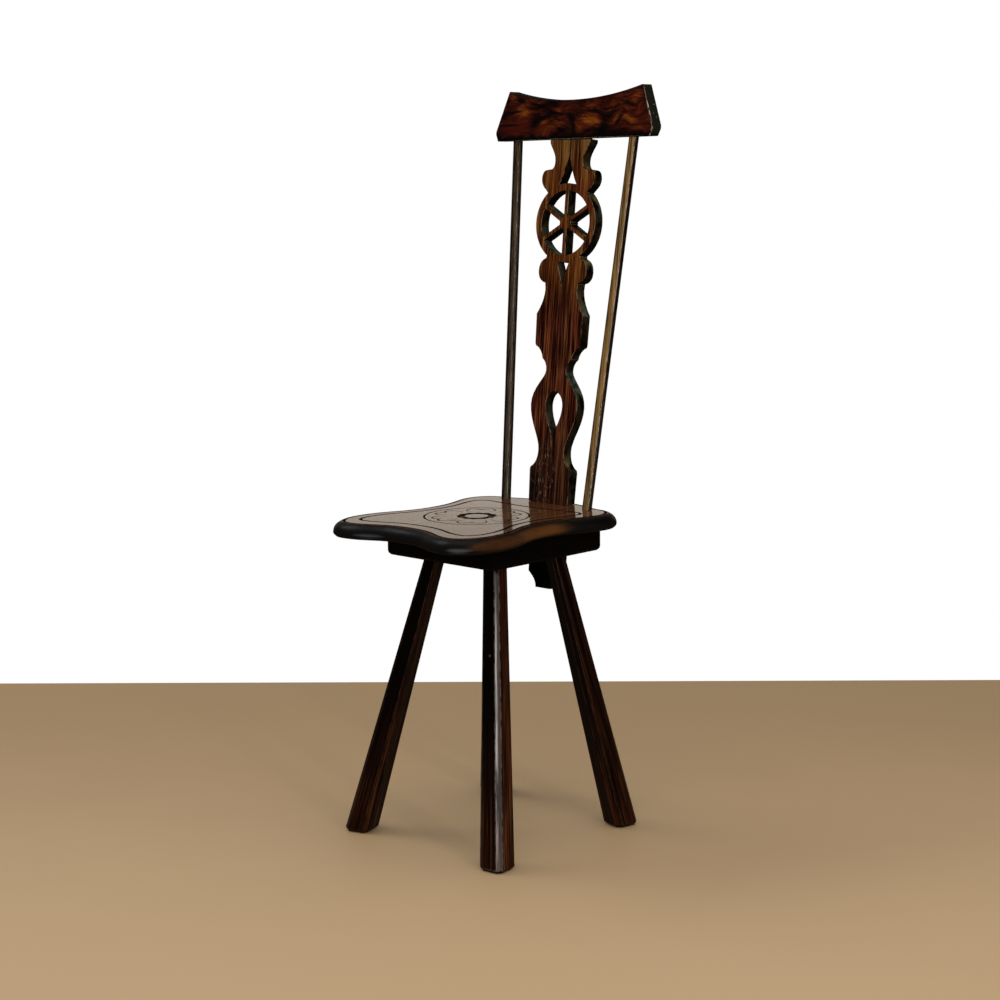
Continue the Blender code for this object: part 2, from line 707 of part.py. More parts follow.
def splat_half_outline():
    # Right side of the splat, from the seat up to the crest
    points = splat_foot_outline() + splat_panel_outline() + splat_wheel_outline()
    points.append((NECK[0] + 0.0050, NECK[1] - 0.0105))
    points += curve_from(NECK, 4, (0.0050, -0.0105), (0.0015, -0.0090), (0.0, -0.0050), (0.0, 0.0))
    handle = (SPLAT_HEAD[0] - 0.0040, SPLAT_HEAD[1] - 0.0127)
    end = (SPLAT_HEAD[0], SPLAT_HEAD[1] - 0.0047)
    points += bezier(NECK, (NECK[0], NECK[1] + 0.0095), handle, end, 5)
    points.append((SPLAT_HEAD[0], SPLAT_HEAD[1] - GAP * 2))
    return points


def tail_outline():
    # The narrow tongue that passes through the seat and ends in a cut tail
    tx, tz = TAIL_END
    half = [(tx, tz)]
    half += curve_from(TAIL_END, 4, (0.0, 0.0), (0.0005, 0.0060), (0.0030, 0.0105), (0.0070, 0.0140))
    half.append((TAIL_HALF - 0.0008, TAIL_SHOULDER - 0.0008))
    half += [(TAIL_HALF, TAIL_SHOULDER), (TAIL_HALF, FOOT_TOP[1] / 2)]
    return mirrored(half)


def wheel_openings(bm, front, back):
    # The gaps between the spokes: parallel sides, a round outer end and a small hub
    inner = WHEEL_HUB
    outer = WHEEL_RADIUS - WHEEL_RIM
    half = SPOKE_WIDTH / 2
    gap = math.pi / SPOKES
    for i in range(SPOKES):
        middle = 2 * math.pi * i / SPOKES
        near = gap - math.asin(half / inner)
        far = gap - math.asin(half / outer)
        outline = arc((0, WHEEL_CENTRE), outer, middle - far, middle + far, 8)
        outline += arc((0, WHEEL_CENTRE), inner, middle + near, middle - near, 3)
        board_prism(bm, outline, front, back)


def pierced_shapes(bm, front, back):
    wheel_openings(bm, front, back)
    foot = math.asin(SPIRE_HALF / WHEEL_RADIUS)
    base = arc((0, WHEEL_CENTRE), WHEEL_RADIUS, math.pi / 2, math.pi / 2 - foot, 4)
    tip = (0.0, WHEEL_CENTRE + WHEEL_RADIUS + SPIRE_HEIGHT)
    low_handle = (SPIRE_HALF * 0.64, base[-1][1] + SPIRE_HEIGHT * 0.19)
    side = bezier(base[-1], low_handle, (SPIRE_HALF * 0.19, tip[1] - 0.0160), tip)
    board_prism(bm, mirrored(base + side), front, back)

    foot = math.asin(DART_HALF / WHEEL_RADIUS)
    base = arc((0, WHEEL_CENTRE), WHEEL_RADIUS, -math.pi / 2, -math.pi / 2 + foot, 3)
    tip = (0.0, WHEEL_CENTRE - WHEEL_RADIUS - DART_HEIGHT)
    high_handle = (DART_HALF * 0.62, base[-1][1] - DART_HEIGHT * 0.33)
    side = bezier(base[-1], high_handle, (DART_HALF * 0.17, tip[1] + 0.0105), tip)
    board_prism(bm, mirrored(base + side), front, back)

    wide = (DROP_HALF, DROP_WIDE)
    tip = (0.0, DROP_TIP)
    narrow = (DROP_HALF * 0.26, DROP_TIP + 0.0210)
    half = [(0.0, DROP_TOP)]
    half += bezier(half[-1], (DROP_HALF * 0.56, DROP_TOP), (DROP_HALF, DROP_WIDE + 0.0105), wide)
    half += bezier(wide, (DROP_HALF, DROP_WIDE - 0.0115), (DROP_HALF * 0.56, DROP_TIP + 0.0280), narrow)
    low_handle = (DROP_HALF * 0.04, DROP_TIP + 0.0085)
    half += bezier(narrow, (DROP_HALF * 0.12, DROP_TIP + 0.0170), low_handle, tip, 4)
    board_prism(bm, mirrored(half), front, back)


def make_splat(parent):
    place = (SPLAT_SIDE, SPLAT_FRONT, SEAT_TOP)
    tilt = (-RAKE, 0, 0)
    bm = bmesh.new()
    board_prism(bm, mirrored(splat_half_outline()), 0.0, SPLAT_THICK)
    slope = math.tan(RAKE)
    geometry = bm.verts[:] + bm.edges[:] + bm.faces[:]
    made = bmesh.ops.bisect_plane(
        bm, geom=geometry, plane_co=(0, 0, GAP), plane_no=(0, -slope, 1), clear_inner=True)
    edges = [item for item in made["geom_cut"] if isinstance(item, bmesh.types.BMEdge)]
    bmesh.ops.edgeloop_fill(bm, edges=edges)
    splat = add_object("splat", finish_mesh(bm, "splat"), parent, place, tilt)

    tail = bmesh.new()
    board_prism(tail, tail_outline(), 0.0, SPLAT_THICK)
    add_cut(splat, tail, "splat_tail_cutter", parent, place, tilt, "UNION")

    tongue = bmesh.new()
    middle = CREST_SET_BACK + CREST_THICK / 2
    half = CREST_TENON_HALF
    low = SPLAT_HEAD[1] - CREST_TENON_LENGTH / 2
    high = SPLAT_HEAD[1] + CREST_TENON_LENGTH
    board_prism(tongue, [(-half, low), (half, low), (half, high), (-half, high)],
                middle - CREST_TENON_THICK / 2, middle + CREST_TENON_THICK / 2)
    add_cut(splat, tongue, "splat_tongue_cutter", parent, place, tilt, "UNION")

    holes = bmesh.new()
    pierced_shapes(holes, -SPLAT_THICK, SPLAT_THICK * 2)
    for side in (-1, 1):
        screw_solid(holes, tail_screw_frame(side), TAIL_SCREW_LENGTH, GAP)
    add_cut(splat, holes, "splat_hole_cutter", parent, place, tilt)
    dress(splat, OAK, 0.22)


def crest_outline(lift):
    # The crest's face, lifted at its back so that its top and bottom are sawn level
    bottom = CREST_BOTTOM + lift
    half = [(0.0, bottom), (CREST_BOTTOM_HALF, bottom), (CREST_CORNER[0], bottom + CREST_CORNER[1])]
    half.append((CREST_CORNER[0], bottom + CREST_END_HEIGHT))
    radius = (CREST_TOP_HALF ** 2 + CREST_DIP ** 2) / (2 * CREST_DIP)
    middle = (0.0, bottom + CREST_HEIGHT - CREST_DIP + radius)
    sweep = math.asin(CREST_TOP_HALF / radius)
    half += arc(middle, radius, sweep - math.pi / 2, -math.pi / 2, 12)
    half[-1] = (0.0, half[-1][1])
    return [(x, z + x * CREST_TILT) for x, z in mirrored(half)]


def make_crest(parent):
    place = (SPLAT_SIDE, SPLAT_FRONT, SEAT_TOP)
    tilt = (-RAKE, 0, 0)
    bm = bmesh.new()
    front = [(x, CREST_SET_BACK, z) for x, z in crest_outline(0.0)]
    back = [(x, CREST_SET_BACK + CREST_THICK, z) for x, z in crest_outline(CREST_LIFT)]
    loft(bm, [front, back])
    crest = add_object("crest_rail", finish_mesh(bm, "crest_rail"), parent, place, tilt)
    soften = crest.modifiers.new("soften", "BEVEL")
    soften.width = CREST_EDGE
    soften.segments = 1
    soften.limit_method = "ANGLE"
    soften.angle_limit = math.radians(40)

    mortise = bmesh.new()
    middle = CREST_SET_BACK + CREST_THICK / 2
    half = CREST_TENON_HALF + GAP
    low = CREST_BOTTOM - CREST_TENON_LENGTH
    high = CREST_BOTTOM + CREST_TENON_LENGTH + GAP
    thick = CREST_TENON_THICK / 2 + GAP
    outline = [(-half, low), (half, low), (half, high), (-half, high)]
    board_prism(mortise, outline, middle - thick, middle + thick)
    add_cut(crest, mortise, "crest_mortise_cutter", parent, place, tilt)

    holes = bmesh.new()
    for side in (-1, 1):
        foot, head = rod_ends(side)
        along = (head - foot).normalized()
        start = head - along * ROD_IN_CREST
        end = head + along * (ROD_IN_CREST + GAP)
        cylinder(holes, start, end, ROD_RADIUS + GAP)
    add_cut(crest, holes, "crest_hole_cutter", parent)
    dress(crest, OAK_RED, 0.18)


def make_rod(parent, name, side):
    foot, head = rod_ends(side)
    along = (head - foot).normalized()
    start = foot - along * ROD_IN_SEAT
    end = head + along * ROD_IN_CREST
    bm = bmesh.new()
    cylinder(bm, (0, 0, 0), (0, 0, (end - start).length), ROD_RADIUS)
    turn = along.to_track_quat("Z", "Y").to_euler()
    rod = add_object(name, finish_mesh(bm, name), parent, start, turn)
    dress(rod, OAK, 0.2)


def screw_solid(bm, frame, length, room):
    # A countersunk screw whose head starts at the frame's origin and which points along its z
    tip = length + room
    profile = (
        (SCREW_HEAD + room, -room * 2 if room else 0.0),
        (SCREW_HEAD + room, SCREW_HEAD_DEPTH * 0.15),
        (SCREW_SHANK + room, SCREW_HEAD_DEPTH),
        (SCREW_SHANK + room, tip if room else length - SCREW_SHANK * 2),
    )
    if not room:
        profile += ((SCREW_SHANK * 0.2, tip),)
    rings = []
    for radius, height in profile:
        ring = []
        for i in range(SCREW_STEPS):
            angle = 2 * math.pi * i / SCREW_STEPS
            ring.append(frame @ Vector((radius * math.cos(angle), radius * math.sin(angle), height)))
        rings.append(ring)
    loft(bm, rings)


def tail_screw_frame(side):
    # In the splat's own axes, at the back of its tail and pointing forwards
    place = Matrix.Translation((side * TAIL_SCREW_X, SPLAT_THICK - GAP, TAIL_SCREW_HEIGHT))
    return place @ Matrix.Rotation(math.radians(90), 4, "X")


def make_screw(parent, name, length, location, rotation):
    bm = bmesh.new()
    screw_solid(bm, Matrix.Identity(4), length, 0.0)
    screw = add_object(name, finish_mesh(bm, name), parent, location, rotation)
    slot = bmesh.new()
    reach = SCREW_HEAD * 2
    half = SCREW_SLOT / 2
    depth = SCREW_HEAD_DEPTH * 0.4
    loft(slot, [
        [(-reach, -half, -depth), (reach, -half, -depth), (reach, half, -depth), (-reach, half, -depth)],
        [(-reach, -half, depth), (reach, -half, depth), (reach, half, depth), (-reach, half, depth)],
    ])
    add_cut(screw, slot, name + "_slot_cutter", parent, location, rotation)
    dress(screw, STEEL, 0.4, 1.0)


def make_screws(parent):
    for number, (x, y) in enumerate(block_screw_places(), 1):
        place = (x, y, BLOCK_UNDERSIDE)
        make_screw(parent, "block_screw_%d" % number, BLOCK_SCREW_LENGTH, place, (0, 0, 0))
    tilt = Matrix.Rotation(-RAKE, 4, "X")
    for number, side in enumerate((-1, 1), 1):
        frame = Matrix.Translation((SPLAT_SIDE, SPLAT_FRONT, SEAT_TOP)) @ tilt @ tail_screw_frame(side)
        place = frame.to_translation()
        make_screw(parent, "tail_screw_%d" % number, TAIL_SCREW_LENGTH, place, frame.to_euler())


def chair_middle():
    # Middle of the chair's greatest extent, side to side and front to back
    sides = [SPLAT_SIDE - CREST_CORNER[0], SPLAT_SIDE + CREST_CORNER[0]]
    for _, x, y, foot, turn, _ in legs():
        top, stand = leg_ends(x, y, foot)
        rim = stand.lerp(top, FOOT_CHAMFER / top.z)
        sides += [rim.x + across for across, _ in leg_section(LEG_SIDE_FOOT, turn)]
    return (min(sides) + max(sides)) / 2, (SEAT_FRONT_MOST + CREST_BACK_MOST) / 2


def make_chair():
    clear_scene()
    middle_x, middle_y = chair_middle()
    chair = add_object("chair", None, None, (-middle_x, -middle_y, 0))
    make_seat(chair)
    make_block(chair)
    for name, x, y, foot, turn, top_side in legs():
        top, stand = leg_ends(x, y, foot)
        make_leg(chair, name, top, stand, turn, top_side)
        make_wedge(chair, name, top, stand)
    make_splat(chair)
    make_crest(chair)
    make_rod(chair, "rod_left", -1)
    make_rod(chair, "rod_right", 1)
    make_screws(chair)


make_chair()
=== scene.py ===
# Looks of the spinning chair: polished dark oak on a plain pale floor.
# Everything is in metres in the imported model's frame.

import math

import bpy
from mathutils import Matrix, Vector

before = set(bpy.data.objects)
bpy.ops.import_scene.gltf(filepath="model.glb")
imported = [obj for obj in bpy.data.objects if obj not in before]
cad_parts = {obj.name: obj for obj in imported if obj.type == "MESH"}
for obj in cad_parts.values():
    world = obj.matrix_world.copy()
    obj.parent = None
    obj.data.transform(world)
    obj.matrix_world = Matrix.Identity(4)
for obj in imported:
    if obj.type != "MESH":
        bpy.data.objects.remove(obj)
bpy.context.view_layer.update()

# Camera
CAMERA_PLACE = (1.79445, -1.85731, 0.82957)
CAMERA_TURN = math.radians(43.73)
CAMERA_PITCH = math.radians(8.78)
CAMERA_ROLL = math.radians(-0.60)
SENSOR = 36.0
LENS = 73.88

# Boards
SEAT_TOP = 0.4140
SEAT_CENTRE = (0.00257, -0.02715)
SPLAT_FRONT = 0.1338 + SEAT_CENTRE[1]
RAKE = math.radians(5.91)
CREST_BOTTOM = 0.4736
BLOCK_UNDERSIDE = 0.3621

# Below the seat's top: the deepest carving, and the middle and the lower end of the rounded edge
CARVING_DEPTH = 0.0020
EDGE_MIDDLE = 0.0120
EDGE_LOW = 0.0185
# Radius that holds all of the carved rose and its ring
ROSE_REACH = 0.0720

# Legs: where each stands and where it meets the block
LEGS = {
    "leg_front_left": ((-0.1200, -0.1237), (-0.0498, -0.0491)),
    "leg_front_right": ((0.1214, -0.1201), (0.0550, -0.0491)),
    "leg_back_left": ((-0.1100, 0.1187), (-0.0498, 0.0600)),
    "leg_back_right": ((0.1168, 0.1190), (0.0550, 0.0600)),
}
NEAR_LEG = "leg_front_right"
# A leg's wear and painted light: how much its right side, browner as painted light, adds to the worn foot,
# and the strength of it all
NEAR_LEG_WEAR_AND_LIGHT = (0.75, 1.00)
LEG_WEAR_AND_LIGHT = (0.45, 0.65)
# The painted highlight streak runs down the near leg on the side that faces this way
LEG_STREAK = (0.68, -0.73, 0.05)
# A small nick in the near leg's left face
LEG_NICK = (0.0778, -0.0828, 0.2541)

# Rods: wood, the side that is painted lit and the strength of the polish
RODS = {
    "rod_left": ((0.0380, 0.0250, 0.0130), (0.70, -0.71, 0.0), 0.35),
    "rod_right": ((0.1350, 0.0740, 0.0180), (0.37, -0.93, 0.0), 0.65),
}

# Directions that masks face
RIGHT = (1.0, 0.0, 0.0)
UP = (0.0, 0.0, 1.0)
BOARD_FACE = (0.0, -math.cos(RAKE), math.sin(RAKE))
BOARD_TOP = (0.25, -0.1, 0.95)
BOARD_RIGHT = (1.0, -0.6, 0.0)
SEAT_RIGHT = (0.91, 0.15, 0.20)
SEAT_CORNER = (0.60, -0.80, 0.0)
LEG_RIGHT = (1.0, -0.1, 0.0)
LEG_CORNER = (0.68, -0.73, 0.0)

# Width of the eased arrises
SPLAT_EASE = 0.0006
CREST_EASE = 0.0007
LEG_EASE = 0.0007

# Points closer than this are welded, and faces that meet flatter than this are joined
WELD_REACH = 0.00002
FLAT_ANGLE = math.radians(0.5)

# Floor, as far as its back edge behind the chair, paler near the camera
FLOOR_BACK = 0.785
FLOOR_REACH = 4.0
FLOOR_TURN = math.radians(-1.65)
FLOOR_NEAR = (0.49, 0.330, 0.180)
FLOOR_FAR = (0.35, 0.225, 0.110)

# Light of the world: on surfaces, and in reflections low and high on the wall and in the rest of the room
SKY_LEVEL = 0.62
WALL_LOW = 1.06
WALL_HIGH = 0.18
WALL_TINT = (1.0, 0.90, 0.77)
ROOM_LEVEL = 0.015

# Lamps: place, the point that each one faces, size, power and colour
CHAIR_MIDDLE = (0.0, 0.0, 0.55)
LAMPS = {
    "window_front": ((2.15, -2.25, 0.86), CHAIR_MIDDLE, (2.1, 1.7), 18.0, (1.0, 0.97, 0.92)),
    "window_strip": ((2.75, -0.90, 0.86), CHAIR_MIDDLE, (0.12, 1.6), 20.0, (1.0, 0.95, 0.86)),
    "window_left": ((-2.0, -0.8, 2.9), CHAIR_MIDDLE, (1.5, 1.2), 30.0, (0.90, 0.96, 1.0)),
    "ceiling": ((0.3, -0.3, 3.0), (0.0, 0.0, 0.0), (1.6, 1.6), 16.0, (1.0, 0.99, 0.96)),
}

# Colours of dark wood, stain and pores, and of painted shade
BLACK = (0.0018, 0.0012, 0.0009)
PORE = (0.0040, 0.0020, 0.0010)
SPLAT_PORE = (0.0030, 0.0010, 0.0006)
CREST_DARK = (0.0010, 0.0006, 0.0004)
CREST_FOOT_SHADE = (0.0016, 0.0007, 0.0005)
CREST_END = (0.0095, 0.0100, 0.0062)
CARVED = (0.0012, 0.0009, 0.0007)
TAIL = (0.0012, 0.0008, 0.0006)
SAWN = (0.0010, 0.0008, 0.0006)
SEAT_EDGE = (0.0022, 0.0017, 0.0015)
ROD_SHADE = (0.0040, 0.0022, 0.0010)
LEG_STAIN = (0.0016, 0.0008, 0.0006)
LEG_ARRIS = (0.0030, 0.0014, 0.0008)
BOARD_ARRIS = (0.0030, 0.0012, 0.0006)
BLOCK_DARK = (0.0008, 0.0006, 0.0005)
BLOCK_LIGHT = (0.0024, 0.0015, 0.0011)

# Colours of lighter places, of wear and of painted light
SPLAT_GOLD = (0.1500, 0.0800, 0.0200)
SPLAT_GLINT = (0.2000, 0.1650, 0.1300)
SPLAT_ARRIS_HIGHLIGHT = (0.2400, 0.1500, 0.0900)
WHEEL_RED = (0.0850, 0.0140, 0.0030)
CREST_RED = (0.0480, 0.0030, 0.0012)
CREST_SPECK = (0.2000, 0.2000, 0.1700)
CREST_ARRIS_HIGHLIGHT = (0.6000, 0.5000, 0.4000)
SAWN_GREEN_REFLECTION = (0.0500, 0.0660, 0.0480)
SAWN_MUSTARD_REFLECTION = (0.1150, 0.0840, 0.0260)
SAWN_BROWN = (0.0300, 0.0210, 0.0070)
EDGE_LIT_DARK_BROWN = (0.0320, 0.0105, 0.0020)
EDGE_LIT_BROWN = (0.0780, 0.0280, 0.0045)
EDGE_REFLECTION = (0.0560, 0.0680, 0.0800)
DULL_POLISH_AND_SHADE = (0.0300, 0.0220, 0.0130)
STREAK_HIGHLIGHT = (0.5500, 0.5300, 0.5200)
NICK_GREY = (0.0900, 0.0750, 0.0650)
NEAR_LEG_ARRIS_HIGHLIGHT = (0.0900, 0.0770, 0.0670)
LEG_ARRIS_HIGHLIGHT = (0.0300, 0.0090, 0.0040)
HIDDEN_DARK = (0.0060, 0.0030, 0.0020)
HIDDEN_LIGHT = (0.0300, 0.0140, 0.0070)
STEEL = (0.2200, 0.2100, 0.2000)
RUST = (0.0600, 0.0350, 0.0200)

# Oak by the tone of its grain, from dark to light
SPLAT_RED = (
    (0.41, (0.0014, 0.0004, 0.0002)),
    (0.48, (0.0160, 0.0022, 0.0009)),
    (0.53, (0.0560, 0.0090, 0.0028)),
    (0.61, (0.1500, 0.0450, 0.0150)),
)
SPLAT_WARM = (
    (0.40, (0.0080, 0.0013, 0.0004)),
    (0.47, (0.0520, 0.0105, 0.0015)),
    (0.54, (0.1100, 0.0330, 0.0040)),
    (0.63, (0.2000, 0.0880, 0.0180)),
)
SPLAT_BROWN = (
    (0.41, (0.0018, 0.0006, 0.0004)),
    (0.48, (0.0170, 0.0032, 0.0014)),
    (0.54, (0.0480, 0.0125, 0.0040)),
    (0.64, (0.1050, 0.0420, 0.0180)),
)
CREST_FIGURE = (
    (0.40, (0.0008, 0.0003, 0.0002)),
    (0.48, (0.0100, 0.0012, 0.0003)),
    (0.56, (0.0420, 0.0046, 0.0005)),
    (0.64, (0.1050, 0.0220, 0.0014)),
    (0.74, (0.2000, 0.0640, 0.0060)),
)
SEAT_OAK = (
    (0.38, (0.0240, 0.0050, 0.0008)),
    (0.50, (0.0800, 0.0225, 0.0032)),
    (0.62, (0.1350, 0.0460, 0.0080)),
)
LEG_OAK = (
    (0.38, (0.0060, 0.0013, 0.0006)),
    (0.50, (0.0340, 0.0080, 0.0024)),
    (0.64, (0.0900, 0.0300, 0.0100)),
)

# Splat's red place on the wheel and its glints at the foot: place up from the seat and size
WHEEL_RED_PLACE = ((0.030, 0.385), (0.030, 0.050))
GLINT_PLACE = ((-0.012, 0.035), (0.026, 0.055))

# Dark streaks of the splat: place up from the seat, size and turn
SPLAT_DARKS = (
    ((0.010, 0.215), (0.010, 0.085), 0.03),
    ((-0.020, 0.150), (0.006, 0.030), 0.0),
    ((-0.024, 0.020), (0.014, 0.045), 0.0),
    ((0.018, 0.120), (0.006, 0.040), 0.0),
)

# Orange places in the crest's figure: place from the middle of its bottom edge, size and turn
CREST_LIGHTS = (
    ((-0.0900, 0.0340), (0.022, 0.016), 0.0),
    ((-0.1080, 0.0580), (0.010, 0.008), 0.0),
    ((-0.0240, 0.0260), (0.022, 0.014), 0.2),
    ((0.0330, 0.0260), (0.030, 0.016), 0.0),
    ((0.0220, 0.0420), (0.026, 0.007), 0.1),
    ((0.0860, 0.0470), (0.070, 0.024), 0.3),
    ((0.1060, 0.0240), (0.044, 0.026), 0.5),
)

# Red place in the crest's figure, in the same way
CREST_RED_PLACE = ((-0.0980, 0.0180), (0.050, 0.018), 0.1)

# Dark figure of the crest, in the same way
CREST_DARKS = (
    ((-0.0865, 0.0570), (0.016, 0.006), -0.35),
    ((-0.0600, 0.0520), (0.022, 0.0035), -0.25),
    ((-0.0250, 0.0385), (0.028, 0.0045), -0.12),
    ((0.0030, 0.0330), (0.012, 0.008), -0.50),
    ((0.0070, 0.0180), (0.006, 0.018), 0.10),
    ((-0.0610, 0.0260), (0.012, 0.010), 0.60),
    ((-0.0980, 0.0430), (0.022, 0.0035), 0.10),
    ((-0.1050, 0.0250), (0.030, 0.0030), 0.05),
    ((0.0380, 0.0400), (0.016, 0.0040), -0.10),
    ((0.0600, 0.0200), (0.010, 0.018), 0.10),
    ((0.0650, 0.0430), (0.024, 0.0020), 0.12),
    ((0.1000, 0.0475), (0.020, 0.0035), -0.25),
    ((0.0850, 0.0280), (0.020, 0.0050), 0.90),
)

# Places of painted shade over shallow carving, also dull in the seat's polish: place from the carved ring's
# middle, size, turn and amount
SEAT_SHADES = (
    ((0.0033, 0.0430), (0.018, 0.006), 0.1, 0.45),
    ((0.0254, -0.0252), (0.022, 0.010), -0.6, 0.40),
)


class Nodes:
    # Short calls that build the nodes of a material or of the world
    def __init__(self, tree):
        self.tree = tree

    def add(self, kind, **settings):
        node = self.tree.nodes.new(kind)
        for key, value in settings.items():
            setattr(node, key, value)
        return node

    def put(self, socket, value):
        # Links a socket to another or sets its value, where a colour has no alpha
        if isinstance(value, bpy.types.NodeSocket):
            self.tree.links.new(value, socket)
        elif socket.type == "RGBA":
            socket.default_value = (*value, 1.0)
        else:
            socket.default_value = value

    def maths(self, operation, a, b=0.0, clamp=False):
        node = self.add("ShaderNodeMath", operation=operation, use_clamp=clamp)
        self.put(node.inputs[0], a)
        self.put(node.inputs[1], b)
        return node.outputs[0]

    def measure(self, operation, vector, other=None):
        # A number worked out from a vector and, for some operations, another one
        node = self.add("ShaderNodeVectorMath", operation=operation)
        self.put(node.inputs[0], vector)
        if other is not None:
            self.put(node.inputs[1], other)
        return node.outputs["Value"]

    def axis(self, vector, letter):
        node = self.add("ShaderNodeSeparateXYZ")
        self.put(node.inputs[0], vector)
        return node.outputs[letter]

    def between(self, value, low, high, start=0.0, end=1.0, kind="SMOOTHSTEP"):
        # Runs from start at low to end at high, and stays there past them. High may be the smaller number.
        node = self.add("ShaderNodeMapRange", interpolation_type=kind)
        self.put(node.inputs["Value"], value)
        for socket, number in (("From Min", low), ("From Max", high), ("To Min", start), ("To Max", end)):
            node.inputs[socket].default_value = number
        return node.outputs["Result"]

    def mix(self, amount, a, b, kind="RGBA"):
        node = self.add("ShaderNodeMix", data_type=kind)
        self.put(node.inputs["Factor"], amount)
        self.put(node.inputs["A"], a)
        self.put(node.inputs["B"], b)
        return node.outputs["Result"]

    def tint(self, colour, mask, amount, other):
        # A colour turned towards another by an amount of a mask
        return self.mix(self.maths("MULTIPLY", mask, amount), colour, other)

    def blend(self, a, b, share):
        # A share of one number and the rest of another
        return self.maths("ADD", self.maths("MULTIPLY", a, share), self.maths("MULTIPLY", b, 1.0 - share))

    def flip(self, value):
        return self.maths("SUBTRACT", 1.0, value, clamp=True)

    def both(self, a, b):
        return self.maths("MULTIPLY", a, b, clamp=True)


class Look(Nodes):
    # A material, its place and normal on the object, and the masks and textures that paint it
    def __init__(self, name, roughness=0.5, coat=0.0, coat_roughness=0.1, specular=0.5):
        self.material = bpy.data.materials.new(name)
        self.material.use_nodes = True
        super().__init__(self.material.node_tree)
        self.shader = self.tree.nodes["Principled BSDF"]
        self.put(self.shader.inputs["Roughness"], roughness)
        self.put(self.shader.inputs["Coat Weight"], coat)
        self.put(self.shader.inputs["Coat Roughness"], coat_roughness)
        self.put(self.shader.inputs["Specular IOR Level"], specular)
        self.place = self.add("ShaderNodeTexCoord").outputs["Object"]
        self.normal = self.add("ShaderNodeNewGeometry").outputs["Normal"]

    def local(self, origin, turn=(0, 0, 0)):
        # Coordinates from an origin along turned axes
        node = self.add("ShaderNodeMapping", vector_type="TEXTURE")
        self.put(node.inputs["Vector"], self.place)
        self.put(node.inputs["Location"], origin)
        self.put(node.inputs["Rotation"], turn)
        return node.outputs["Vector"]

    def scaled(self, vector, scale):
        node = self.add("ShaderNodeMapping")
        self.put(node.inputs["Vector"], vector)
        self.put(node.inputs["Scale"], scale)
        return node.outputs["Vector"]

    def noise(self, vector, scale, detail=3.0, roughness=0.5, distortion=0.0, output="Fac"):
        # The scale is in waves per metre along each axis
        node = self.add("ShaderNodeTexNoise")
        self.put(node.inputs["Vector"], self.scaled(vector, scale))
        self.put(node.inputs["Scale"], 1.0)
        self.put(node.inputs["Detail"], detail)
        self.put(node.inputs["Roughness"], roughness)
        self.put(node.inputs["Distortion"], distortion)
        return node.outputs[output]

    def facing(self, direction):
        # Cosine between the surface and a direction
        return self.measure("DOT_PRODUCT", self.normal, Vector(direction).normalized())

    def depth(self, start, end):
        # 0 at a depth of start below the seat's top, 1 at a depth of end
        return self.between(self.axis(self.place, "Z"), SEAT_TOP - start, SEAT_TOP - end)

    def ramp(self, value, stops):
        node = self.add("ShaderNodeValToRGB")
        self.put(node.inputs["Fac"], value)
        elements = node.color_ramp.elements
        while len(elements) < len(stops):
            elements.new(0.5)
        for element, (position, colour) in zip(elements, stops):
            element.position = position
            element.color = (*colour, 1.0)
        return node.outputs["Color"]

    def patch(self, local, centre, size, turn=0.0, soft=0.6):
        # 1 in the middle of an oval in a board's own face, 0 outside it, at any depth in the board
        node = self.add("ShaderNodeMapping", vector_type="TEXTURE")
        self.put(node.inputs["Vector"], local)
        self.put(node.inputs["Location"], (centre[0], 0.0, centre[1]))
        self.put(node.inputs["Rotation"], (0.0, -turn, 0.0))
        self.put(node.inputs["Scale"], (size[0], 1000.0, size[1]))
        return self.flip(self.between(self.measure("LENGTH", node.outputs["Vector"]), 1.0 - soft, 1.0))

    def colour(self, socket):
        self.put(self.shader.inputs["Base Color"], socket)

    def bump(self, height, distance, strength):
        node = self.add("ShaderNodeBump")
        self.put(node.inputs["Height"], height)
        self.put(node.inputs["Distance"], distance)
        self.put(node.inputs["Strength"], strength)
        self.put(self.shader.inputs["Normal"], node.outputs["Normal"])
        self.put(self.shader.inputs["Coat Normal"], node.outputs["Normal"])

    def vary(self, socket, mask, low, high):
        # A shader's input that runs from low to high with a mask
        self.put(self.shader.inputs[socket], self.between(mask, 0.0, 1.0, low, high, "LINEAR"))


def grain(look, local, across, along):
    # Long oak fibres along z of the local axes, and the short open pores among them
    fibre = look.noise(local, (across, across, along), detail=4.0, roughness=0.6)
    pores = look.noise(local, (across * 2.4, across * 2.4, along * 5.0), detail=2.0)
    return fibre, look.between(pores, 0.60, 0.70)


def board_local(look, height=0.0):
    # Across, through and up the raked back, from the splat's front at a height up it from the seat
    place = (SEAT_CENTRE[0], SPLAT_FRONT + height * math.sin(RAKE), SEAT_TOP + height * math.cos(RAKE))
    return look.local(place, (-RAKE, 0, 0))


def side_mask(look):
    # 1 on the sawn sides of the raked boards, 0 on their faces
    face = look.maths("ABSOLUTE", look.facing(BOARD_FACE))
    return look.flip(look.between(face, 0.55, 0.85))


def side_colour(look, local):
    # Sawn sides: near black, a painted reflection in grey-green and mustard where they face up, brown where
    # they face right
    cloud = look.between(look.noise(local, (45, 60, 45), roughness=0.6), 0.35, 0.62)
    # Painted reflection in grey-green and mustard where the sides face up
    up = look.both(look.between(look.facing(BOARD_TOP), 0.10, 0.75), cloud)
    hue = look.between(look.noise(local, (25, 25, 25), detail=1.0), 0.40, 0.60)
    colour = look.mix(up, SAWN, look.mix(hue, SAWN_GREEN_REFLECTION, SAWN_MUSTARD_REFLECTION))
    flank = look.both(look.between(look.facing(RIGHT), 0.80, 0.97), cloud)
    return look.tint(colour, flank, 0.55, SAWN_BROWN)


